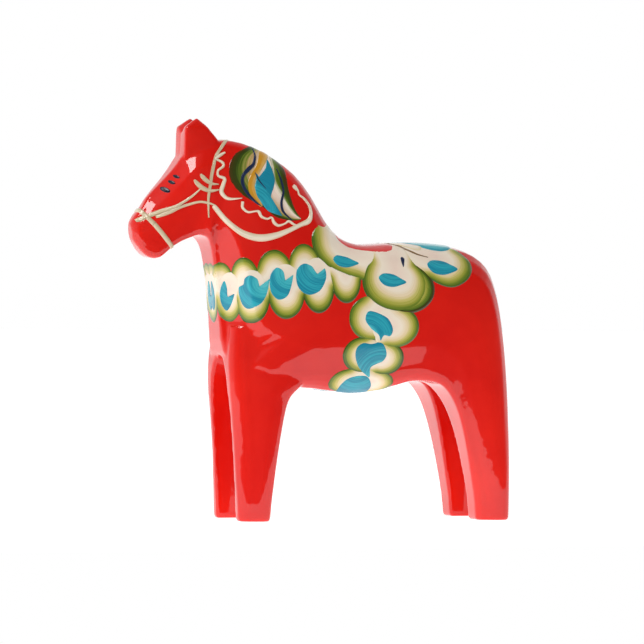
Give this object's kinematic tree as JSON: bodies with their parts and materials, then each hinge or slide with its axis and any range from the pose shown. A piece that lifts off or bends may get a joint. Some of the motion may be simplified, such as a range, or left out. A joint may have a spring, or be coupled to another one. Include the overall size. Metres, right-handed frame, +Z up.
{
  "type": "carved toy horse",
  "caption": "Standing horse carved from one wood block, flat sides and split legs, red lacquer with raised brush-painted bridle, garlands, petals and leaves.",
  "frame": {"origin": "centre of the bounding box, on the plane the four feet stand on", "axes": "+Z up; the head points along -X; Y runs across the horse"},
  "size_m": [0.1268, 0.0392, 0.1299],
  "materials": {
    "red_lacquer": "pine under thick glossy red lacquer",
    "bridle_cream": "raised gloss brush paint",
    "navy_paint": "raised gloss brush paint",
    "leaf_green": "raised gloss brush paint, green shading to cream",
    "gold_paint": "raised gloss brush paint",
    "teal_paint": "raised gloss brush paint",
    "scroll_cream": "raised gloss brush paint",
    "garland_paint": "raised gloss brush paint, green rim shading to cream",
    "crown_red": "raised gloss brush paint"
  },
  "bodies": {
    "root": {"carved_body": "red_lacquer", "noseband": "bridle_cream", "cheek_straps": "bridle_cream", "crown_strap": "bridle_cream", "throat_dashes": "bridle_cream", "eye_dashes": "navy_paint", "mane_leaf": "leaf_green", "mane_tongues": "gold_paint", "mane_flame": "teal_paint", "mane_flicks": "navy_paint", "neck_scroll": "scroll_cream", "neck_crescent": "scroll_cream", "collar_garland": "garland_paint", "collar_commas": "teal_paint", "saddle_petals": "garland_paint", "saddle_drops": "teal_paint", "saddle_tear": "navy_paint", "saddle_crown": "crown_red", "saddle_gold": "gold_paint", "saddle_leaf": "teal_paint", "girth_garland": "garland_paint", "girth_commas": "teal_paint"}
  },
  "joints": []
}
